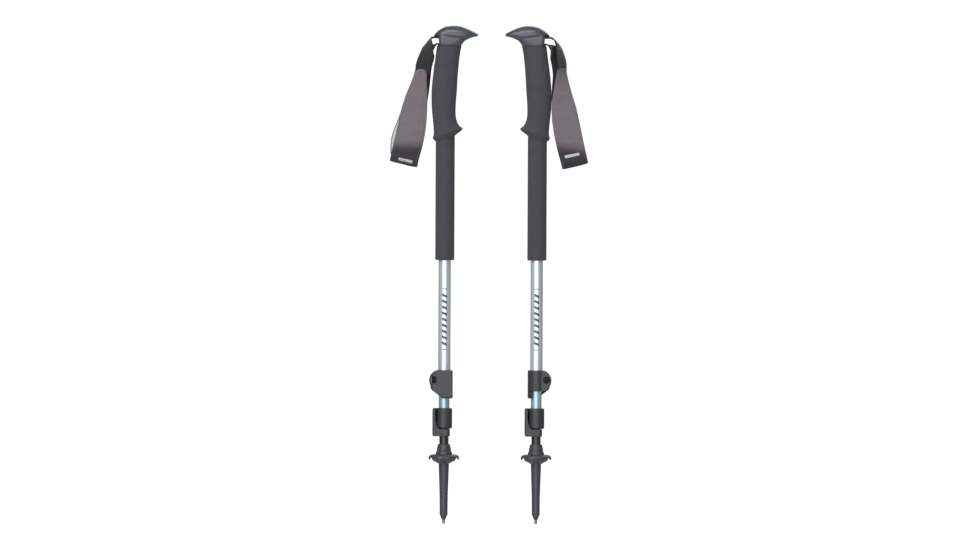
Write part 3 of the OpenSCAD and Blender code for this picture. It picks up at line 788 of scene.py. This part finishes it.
def band_path(side):
    """Rows of centre (3) and half-width vector (3) in mm: front layer, fold, rear layer."""
    e = spline(BAND_EDGES[side], 6)
    out = (e[:, 2] - e[:, 0]) / 2
    half = np.stack([out, out / np.tan(np.radians(e[:, 4])), (e[:, 3] - e[:, 1]) / 2], axis=1)
    centre = np.stack([(e[:, 0] + e[:, 2]) / 2, np.full(len(e), -BAND_GAP), (e[:, 1] + e[:, 3]) / 2], axis=1)
    front = np.hstack([centre, half])
    last = half[-1]
    tilt = unit(np.array([last[2], 0, -last[0]]))
    down = -tilt if tilt[2] > 0 else tilt
    fold = []
    for angle in np.radians(np.arange(10, 171, 10)):
        middle = centre[-1] + down * FOLD_DROP * math.sin(angle)
        middle[1] = -BAND_GAP * math.cos(angle)
        fold.append(np.concatenate([middle, last]))
    below = (np.arange(len(e)) - REAR_TOP[side]).clip(0)
    rear = front.copy()
    rear[:, 0] += REAR_SHIFT[side] * np.sin(math.pi * (below / below[-1]) ** 1.4)
    rear[:, 1] = BAND_GAP
    return np.vstack([front, fold, rear[REAR_TOP[side] :][::-1]])


def frames(path):
    """Centres, half-width vectors and outward unit normals of a path of rows."""
    centre, half = path[:, :3], path[:, 3:6]
    along = unit(np.gradient(centre, axis=0))
    return centre, half, unit(np.cross(along, half))


def round_ends(at, half_width, corner):
    """How much narrower a strip is near its ends, as rounded corners."""
    reach = np.minimum(at, at[-1] - at).clip(0, corner)
    return (half_width - (corner - np.sqrt(corner**2 - (corner - reach) ** 2))) / half_width


# Shares of the band's half width where its faces have points
HALF_ACROSS = [0.16, 0.33, 0.5, 0.66, 0.8, 0.86, 0.91, 0.97]
ACROSS = np.array([-a for a in HALF_ACROSS[::-1]] + [0] + HALF_ACROSS)
SEAM = 0.86
# Most that the filling raises the pad's face, in mm, and how long it is simulated
FILL_RISE = 0.9
FILL_FRAMES = 24


def pad_thickness(across):
    """Half thickness of the pad as a share: thin at the sewn line, full in the middle."""
    inside = np.clip(1 - (np.abs(across) / SEAM) ** 4, 0, 1)
    return np.where(np.abs(across) > SEAM, 0.5, 0.4 + 0.6 * inside**0.5)


def pad_grid(side):
    """Rings of the wrist band's pad: outer face, edge, inner face, edge. Returns rings, UVs and lengths."""
    rows, at = resample(band_path(side), 1.7)
    centre, half, normal = frames(rows)
    width = np.linalg.norm(half, axis=1)
    scale = round_ends(at, width, 3.5)[:, None]
    half = half * scale
    end = np.minimum(at, at[-1] - at)
    flat = (0.45 + 0.55 * (end / 7).clip(0, 1) ** 0.6)[:, None]
    columns, u = [], []
    for a in ACROSS:
        columns.append(centre + half * a + normal * flat * BAND_T / 2 * pad_thickness(a))
        u.append(a)
    columns.append(centre + half)
    u.append(1.0)
    for a in ACROSS[::-1]:
        columns.append(centre + half * a - normal * flat * BAND_T / 2 * pad_thickness(a))
        u.append(a)
    columns.append(centre - half)
    u.append(-1.0)
    rings = np.stack(columns, axis=1)
    uv = np.stack([np.outer(width, u), np.repeat(at[:, None], len(u), 1)], axis=-1)
    return rings, uv * MM, at


def puff(obj, pinned):
    """Fills the pad with air between its sewn lines and returns how far each vertex moved."""
    rest = coords(obj.data)
    group = obj.vertex_groups.new(name="sewn")
    group.add([int(i) for i in np.nonzero(pinned)[0]], 1.0, "REPLACE")
    cloth = obj.modifiers.new("cloth", "CLOTH")
    cloth.settings.quality = 8
    cloth.settings.mass = 0.02
    cloth.settings.tension_stiffness = 12
    cloth.settings.compression_stiffness = 12
    cloth.settings.shear_stiffness = 4
    cloth.settings.bending_stiffness = 0.01
    cloth.settings.shrink_min = -0.05
    cloth.settings.vertex_group_mass = group.name
    cloth.settings.use_pressure = True
    cloth.settings.uniform_pressure_force = 3
    cloth.settings.effector_weights.gravity = 0
    cloth.collision_settings.use_collision = False
    cloth.point_cache.frame_start, cloth.point_cache.frame_end = 1, FILL_FRAMES
    for step in range(1, FILL_FRAMES + 1):
        bpy.context.scene.frame_set(step)
    applied(obj)
    bpy.context.scene.frame_set(1)
    obj.vertex_groups.clear()
    moved = coords(obj.data) - rest
    set_coords(obj.data, rest)
    return moved


def subdivided(obj, levels=1):
    obj.modifiers.new("subdivision", "SUBSURF").levels = levels
    applied(obj)
    obj.data.polygons.foreach_set("use_smooth", [True] * len(obj.data.polygons))


class Pad:
    """The wrist band's pad after filling, with its faces as grids to lay other pieces on."""

    def __init__(self, side, sign):
        rings, uv, self.at = pad_grid(side)
        self.sign = sign
        self.shape = rings.shape[:2]
        verts = to_row(rings, sign).reshape(-1, 3)
        obj = mesh_object(side + "_band_pad", verts, ring_faces(*self.shape), uv.reshape(-1, 2))
        count = len(ACROSS)
        across = np.concatenate([ACROSS, [1], ACROSS[::-1], [-1]])
        pinned = np.tile(np.abs(across) >= SEAM, self.shape[0])
        pinned[: 2 * self.shape[1]] = True
        pinned[-2 * self.shape[1] :] = True
        grid = coords(obj.data).reshape(*self.shape, 3)
        self.outer = grid[:, :count]
        self.inner = grid[:, count + 1 : 2 * count + 1][:, ::-1]
        if SIMULATE:
            self.fill(puff(obj, pinned).reshape(*self.shape, 3))
            set_coords(obj.data, grid.reshape(-1, 3))
        subdivided(obj)
        self.obj = obj

    def fill(self, moved):
        """Raises each face by what the filling moved it, less near the pad's ends."""
        count = len(ACROSS)
        away = unit(self.outer - self.inner)
        end = np.minimum(self.at, self.at[-1] - self.at)
        most = FILL_RISE * MM * ((end - 3) / 9).clip(0, 1)[:, None]
        outward = np.sum(moved[:, :count] * away, axis=2)
        inward = -np.sum(moved[:, count + 1 : 2 * count + 1][:, ::-1] * away, axis=2)
        self.outer += away * np.clip(outward, -0.2 * most, most)[:, :, None]
        self.inner -= away * np.clip(inward, -0.2 * most, 0.5 * most)[:, :, None]

    def face(self, outer):
        """The outer or inner face's points and unit normals."""
        grid = self.outer if outer else self.inner
        along = np.gradient(grid, axis=0)
        across = np.gradient(grid, axis=1)
        normal = unit(np.cross(across, along)) * (-1 if outer else 1) * self.sign
        return grid, normal

    def sample(self, at, across, outer=True):
        """Point and normal on a face, at a length along in mm and a share across."""
        grid, normal = self.face(outer)
        row = np.interp(at, self.at, np.arange(len(self.at)))
        column = np.interp(across, ACROSS, np.arange(len(ACROSS)))
        i, j = min(int(row), len(self.at) - 2), min(int(column), len(ACROSS) - 2)
        s, t = row - i, column - j
        mixed = [
            (1 - s) * ((1 - t) * g[i, j] + t * g[i, j + 1]) + s * ((1 - t) * g[i + 1, j] + t * g[i + 1, j + 1])
            for g in (grid, normal)
        ]
        return mixed[0], unit(mixed[1])


# Half width of the band in mm, near enough for a patch's corners and UVs
PATCH_HALF = 18


def patch(name, pad, at_range, across_range, outer, sink, proud, counts, corner=0.0):
    """A thin plate laid on the pad's face, with rounded corners if corner (mm) is given.

    It goes from sink mm below the face to proud mm above it, with counts of points along and across.
    """
    rows, columns = counts
    lengths = np.linspace(*at_range, rows)
    shares = np.linspace(*across_range, columns)
    middle = (across_range[0] + across_range[1]) / 2
    verts, uvs = [], []
    for level in (proud, -sink):
        for i, length in enumerate(lengths):
            near = min(length - at_range[0], at_range[1] - length, corner) if corner else 0
            cut = corner - math.sqrt(corner**2 - (corner - near) ** 2) if corner else 0
            for share in shares:
                span = abs(across_range[1] - middle)
                reach = span * PATCH_HALF if corner else 1
                eased = middle + (share - middle) * (1 - cut / reach if corner else 1)
                point, normal = pad.sample(length, eased, outer)
                edge = i in (0, rows - 1) or share in (shares[0], shares[-1])
                lift = level * (0.35 if edge and level > 0 else 1)
                verts.append(point + normal * lift * MM)
                uvs.append((share * PATCH_HALF * MM, length * MM))

    def index(k, i, j):
        return k * rows * columns + i * columns + j

    faces = []
    for i in range(rows - 1):
        for j in range(columns - 1):
            for k in (0, 1):
                faces.append((index(k, i, j), index(k, i, j + 1), index(k, i + 1, j + 1), index(k, i + 1, j)))
    rim = [(0, j) for j in range(columns)] + [(i, columns - 1) for i in range(1, rows)]
    rim += [(rows - 1, j) for j in range(columns - 2, -1, -1)] + [(i, 0) for i in range(rows - 2, 0, -1)]
    for (i, j), (p, q) in zip(rim, rim[1:] + rim[:1]):
        faces.append((index(0, i, j), index(0, p, q), index(1, p, q), index(1, i, j)))
    return mesh_object(name, verts, faces, uvs)


# Rings of a stitch: share of its length, share of its radius, rise in radii
STITCH_RINGS = [(0, 0.4, -0.7), (0.14, 0.9, 0), (0.35, 1, 0.25), (0.65, 1, 0.25), (0.86, 0.9, 0), (1, 0.4, -0.7)]


def capsule(start, stop, normal, radius, sides=6):
    """Rings of one stitch: a thread that dips into the cloth at both ends."""
    start, stop = np.array(start), np.array(stop)
    along = unit(stop - start)
    aside = np.cross(along, normal)
    rings = []
    for share, size, rise in STITCH_RINGS:
        middle = start + (stop - start) * share + normal * radius * rise
        turn = np.linspace(0, math.tau, sides, endpoint=False)
        rings.append(middle + radius * size * (np.outer(np.cos(turn), aside) + np.outer(np.sin(turn), normal)))
    return np.vstack(rings)


def stitches(name, runs, radius=0.3, sides=6):
    """One mesh of stitches; a run is a list of (start, stop, normal)."""
    verts, faces = [], []
    pattern = ring_faces(len(STITCH_RINGS), sides)
    for start, stop, normal in runs:
        offset = len(verts)
        verts.extend(capsule(start, stop, normal, radius * MM, sides))
        faces.extend(tuple(offset + v for v in face) for face in pattern)
    return mesh_object(name, verts, faces)


def sewn_line(pad, points, outer, pitch=2.7, length=1.9):
    """Stitches along a line on the pad given as (length along, share across) points."""
    dense = np.array([pad.sample(at, share, outer)[0] for at, share in points])
    step = np.linalg.norm(np.diff(dense, axis=0), axis=1)
    run = np.concatenate([[0], np.cumsum(step)]) / MM
    made = []
    for begin in np.arange(0.4, run[-1] - length, pitch):
        ends = []
        for want in (begin, begin + length):
            at = np.interp(want, run, [p[0] for p in points])
            share = np.interp(want, run, [p[1] for p in points])
            ends.append(pad.sample(at, share, outer))
        normal = unit(ends[0][1] + ends[1][1])
        made.append((ends[0][0] + normal * 0.05 * MM, ends[1][0] + normal * 0.05 * MM, normal))
    return made


# Share of the band's half width that the lining covers
LINER_REACH = 0.93
# Reflective bar: start past the front layer's end and height, in mm, then its ends across as shares
BAR = {"left": (0.3, 3.6, -0.62, 0.42), "right": (-9.0, 3.8, -0.62, 0.5)}
# Bar tack at each end of the band: its two rows from the end, and its stitches' pitch and length, in mm
TACK_ROWS = (4.0, 8.5)
TACK_STITCH = (2.2, 1.6)


def wrist_band(side, sign):
    body = side + "_strap"
    pad = Pad(side, sign)
    finish_with(pad.obj, knits[side]())
    stand_for(pad.obj, side + "_wrist_band")
    total = pad.at[-1]
    inset = 2.5
    along = (inset, total - inset)
    lined = patch(side + "_band_liner", pad, along, (-LINER_REACH, LINER_REACH), False, 0.35, 0.55, (150, 15))
    subdivided(lined)
    finish_with(lined, lining())
    stand_for(lined, side + "_band_lining")
    rows, at = resample(band_path(side), 1.7)
    lines = []
    for share in (-SEAM, SEAM):
        edge = [(at, share) for at in np.arange(3, total - 3, 1.0)]
        lines += sewn_line(pad, edge, True)
    near, far = TACK_ROWS
    for row in (near, far, total - far, total - near):
        lines += sewn_line(pad, [(row, share) for share in np.linspace(-0.8, 0.8, 30)], True, *TACK_STITCH)
    for share in (-0.5, 0.5):
        for start in (near, total - far):
            cross = [(start + t * (far - near), share * (1 - 2 * t)) for t in np.linspace(0, 1, 20)]
            lines += sewn_line(pad, cross, True, *TACK_STITCH)
    seam = stitches(side + "_band_stitches", lines)
    finish_with(seam, thread())
    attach(seam, body)
    path = band_path(side)[: 6 * (len(BAND_EDGES[side]) - 1) + 1, :3]
    front = float(np.linalg.norm(np.diff(path, axis=0), axis=1).sum())
    begin, height, left, right = BAR[side]
    along = (front + begin, front + begin + height)
    bar = patch(side + "_reflective_bar", pad, along, (left, right), True, 0.2, 0.12, (9, 28), 0.8)
    finish_with(bar, reflective())
    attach(bar, body)


def webbing_path(side):
    """Rows of centre (3) and turn: rear leg upwards, round the pin, and the front leg downwards."""
    loop = [[PIN[0] + 4.5, 0, PIN[1] - 5.6, 0], [PIN[0] + 1.6, 0, PIN[1] - 3.4, 0]]
    for angle in range(-90, 91, 30):
        t = math.radians(angle)
        loop.append([PIN[0] - PIN_TURN * math.cos(t), 0, PIN[1] + PIN_TURN * math.sin(t), 0])
    loop += [[PIN[0] + 5, 0, PIN[1] + PIN_TURN, 0], [PIN[0] + 11, 0, PIN[1] + PIN_TURN, 0]]
    return REAR_LEG[side][::-1] + loop + FRONT_LEG[side]


def strap_webbing(side, sign):
    rows, at = resample(spline(webbing_path(side), 6), 0.9)
    centre, turn = rows[:, :3], np.radians(rows[:, 3])
    along = unit(np.gradient(centre, axis=0))
    raw = np.stack([-np.sin(turn), -np.cos(turn), np.zeros(len(turn))], axis=1)
    half = unit(raw - along * np.sum(raw * along, axis=1, keepdims=True))
    normal = np.cross(half, along)
    reach = np.minimum(at, at[-1] - at)
    width = WEBBING_W / 2 * (0.86 + 0.14 * (reach / 9).clip(0, 1))[:, None]
    shares = np.concatenate([[-0.985], np.linspace(-0.95, 0.95, 21), [0.985]])
    columns, u = [], []
    for level, order in ((1, shares), (-1, shares[::-1])):
        for a in order:
            edge = min(1.0, math.sqrt(max(0.0, 1 - ((abs(a) - 0.9) / 0.1) ** 2))) if abs(a) > 0.9 else 1.0
            columns.append(centre + half * width * a + normal * level * WEBBING_T / 2 * edge)
            u.append(a * WEBBING_W / 2)
    rings = np.stack(columns, axis=1)
    uv = np.stack([np.tile(u, (len(at), 1)), np.repeat(at[:, None], len(u), 1)], axis=-1) * MM
    verts = to_row(rings, sign).reshape(-1, 3)
    obj = mesh_object(side + "_webbing", verts, ring_faces(*rings.shape[:2]), uv.reshape(-1, 2))
    finish_with(obj, webbing())
    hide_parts(side + "_strap_webbing", side + "_strap_loop")
    start, end = to_row([[14.5, 0, 633.5], [29, 0, 605]], sign)
    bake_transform(obj)


# ---------------------------------------------------------------- lock
# Cheek between the lower lever's door and its hook: height, radius it clears, how far across it reaches
CHEEK = [
    [114.1, 7.9, 4.6], [114.5, 7.9, 6.0], [118.0, 7.9, 6.6], [122.2, 7.9, 6.6], [122.9, 7.9, 6.0],
    [123.0, 10.85, 5.0], [123.1, 10.85, -5.2], [123.8, 10.85, -6.6], [124.8, 10.85, -7.9],
    [126.2, 10.85, -9.0], [128.5, 10.85, -9.9], [131.5, 10.85, -10.5], [137.0, 10.85, -11.0],
]
# Where the cheek starts across inside the door, how far it stands in front, and its outside radius
DOOR_INSIDE, DOOR_END, WRAP_R = -14.2, 11.2, 12.0


def cheek(sign):
    """Rings, in metres, of the corner that joins the lower lever's door to its hook in front of the pole."""
    rings = []
    for z, clear_r, reach in CHEEK:
        across = np.linspace(DOOR_INSIDE, reach, 14)
        inner = np.sqrt(np.clip(clear_r**2 - across**2, 0, None)).clip(4)
        wrap = np.sqrt(np.clip(WRAP_R**2 - across.clip(0) ** 2, 0, None)).clip(0, DOOR_END)
        x = sign * POLE_X + np.concatenate([across, across[::-1]])
        rings.append(np.stack([x, -np.concatenate([inner, wrap[::-1]]), np.full(28, z)], axis=1))
    return np.array(rings) * MM


# ---------------------------------------------------------------- build
for side, sign in SIDES.items():
    head = moulded(side + "_head", side + "_grip_head", 0.45, 70, 0.4)
    finish_with(head, head_rubber())
    grip_foam(side, sign)
    foam_extension(side, sign)
    wrist_band(side, sign)
    strap_webbing(side, sign)
    for level in ("upper", "lower"):
        for part in ("collar", "lever"):
            node = f"{side}_{level}_lock_{part}"
            joined = cheek(sign) if (level, part) == ("lower", "lever") else None
            shell = moulded(f"{side}_{level}_clamp_{part}", node, 0.32, 6, 0.45, joined)
            finish_with(shell, lock_plastic())
        dress(f"{side}_{level}_lock_pad", steel())
        dress(f"{side}_{level}_lock_barrel", dark_screw())
        dress(f"{side}_{level}_lock_screw", dark_screw())
    for part in ("upper", "middle", "lower"):
        dress(f"{side}_{part}_shaft", tubes[part + "_tube", side]())
    turned(side + "_flex_tip", side + "_tip_body", sign, FLEX_TIP, tip_plastic())
    disc = moulded(side + "_snow_ring", side + "_basket", 0.36, 8, 0.4)
    finish_with(disc, tip_plastic())
    turned(side + "_ring_hub", side + "_basket_collar", sign, RING_HUB, tip_plastic())
    dress(side + "_tip_ferrule", tip_metal())
    dress(side + "_carbide_tip", carbide())
    dress(side + "_strap_pin", steel())
    # Inner parts in near-black, painted shade for the gaps and recesses where they show
    for part in ("strap_wedge", "grip_core", "middle_guide", "lower_guide"):
        dress(f"{side}_{part}", hidden_plastic())


# ---------------------------------------------------------------- stage
# The floor lies below the tips at full length, as both slides run downward from the held grip
FLOOR_Z = -0.76
FLOOR_R = 20


def floor():
    turn = np.linspace(0, math.tau, 64, endpoint=False)
    verts = [(FLOOR_R * math.cos(t), FLOOR_R * math.sin(t), FLOOR_Z) for t in turn]
    obj = mesh_object("floor", verts, [tuple(range(64))])
    made = bpy.data.materials.new("floor")
    made.use_nodes = True
    tree = made.node_tree
    shader = tree.nodes["Principled BSDF"]
    shader.inputs["Base Color"].default_value = (0.9, 0.9, 0.9, 1)
    shader.inputs["Roughness"].default_value = 0.9
    shader.inputs["Specular IOR Level"].default_value = 0.1
    glow = add(tree, "ShaderNodeEmission", Color=(1, 1, 1, 1), Strength=1.12)
    seen = add(tree, "ShaderNodeLightPath").outputs["Is Camera Ray"]
    blended = add(tree, "ShaderNodeMixShader", Fac=maths(tree, "MULTIPLY", seen, 0.93))
    tree.links.new(shader.outputs[0], blended.inputs[1])
    tree.links.new(glow.outputs[0], blended.inputs[2])
    tree.links.new(blended.outputs[0], tree.nodes["Material Output"].inputs[0])
    obj.data.materials.append(made)


def area_light(name, place, aim, size, power):
    light = bpy.data.lights.new(name, "AREA")
    light.shape, light.size, light.size_y = "RECTANGLE", size[0], size[1]
    light.energy = power
    obj = bpy.data.objects.new(name, light)
    obj.location = place
    obj.rotation_euler = (Vector(aim) - Vector(place)).to_track_quat("-Z", "Y").to_euler()
    bpy.context.scene.collection.objects.link(obj)


# What the camera takes in at the poles: width and centre in metres, roll in degrees
VIEW_WIDTH = 1.274
VIEW_CENTRE = (-0.00225, 0.324)
VIEW_ROLL = -0.26


def studio():
    scene = bpy.context.scene
    scene.view_settings.view_transform = "Standard"
    world = bpy.data.worlds.new("studio")
    world.use_nodes = True
    scene.world = world
    tree = world.node_tree
    background = tree.nodes["Background"]
    seen = add(tree, "ShaderNodeLightPath").outputs["Is Camera Ray"]
    tree.links.new(ramp(tree, seen, 0.0, 1.0, 0.2, 1.05, False), background.inputs["Strength"])
    background.inputs["Color"].default_value = (1, 1, 1, 1)
    middle = (0, 0, 0.33)
    area_light("front", (-0.4, -2.8, 1.0), middle, (3.6, 3.0), 62)
    area_light("key", (-1.5, -1.7, 2.3), middle, (0.9, 0.9), 15)
    area_light("overhead", (-0.2, -0.75, 2.3), (0, 0, 0.5), (1.4, 0.7), 13)
    area_light("rim", (0.5, 1.8, 1.8), middle, (1.6, 1.0), 13)
    camera = bpy.data.cameras.new("camera")
    camera.lens = 135
    camera.sensor_width = 36
    obj = bpy.data.objects.new("camera", camera)
    obj.location = (VIEW_CENTRE[0], -VIEW_WIDTH * camera.lens / camera.sensor_width, VIEW_CENTRE[1])
    obj.rotation_euler = (math.pi / 2, math.radians(VIEW_ROLL), 0)
    scene.collection.objects.link(obj)
    scene.camera = obj


floor()
studio()
bpy.context.view_layer.update()
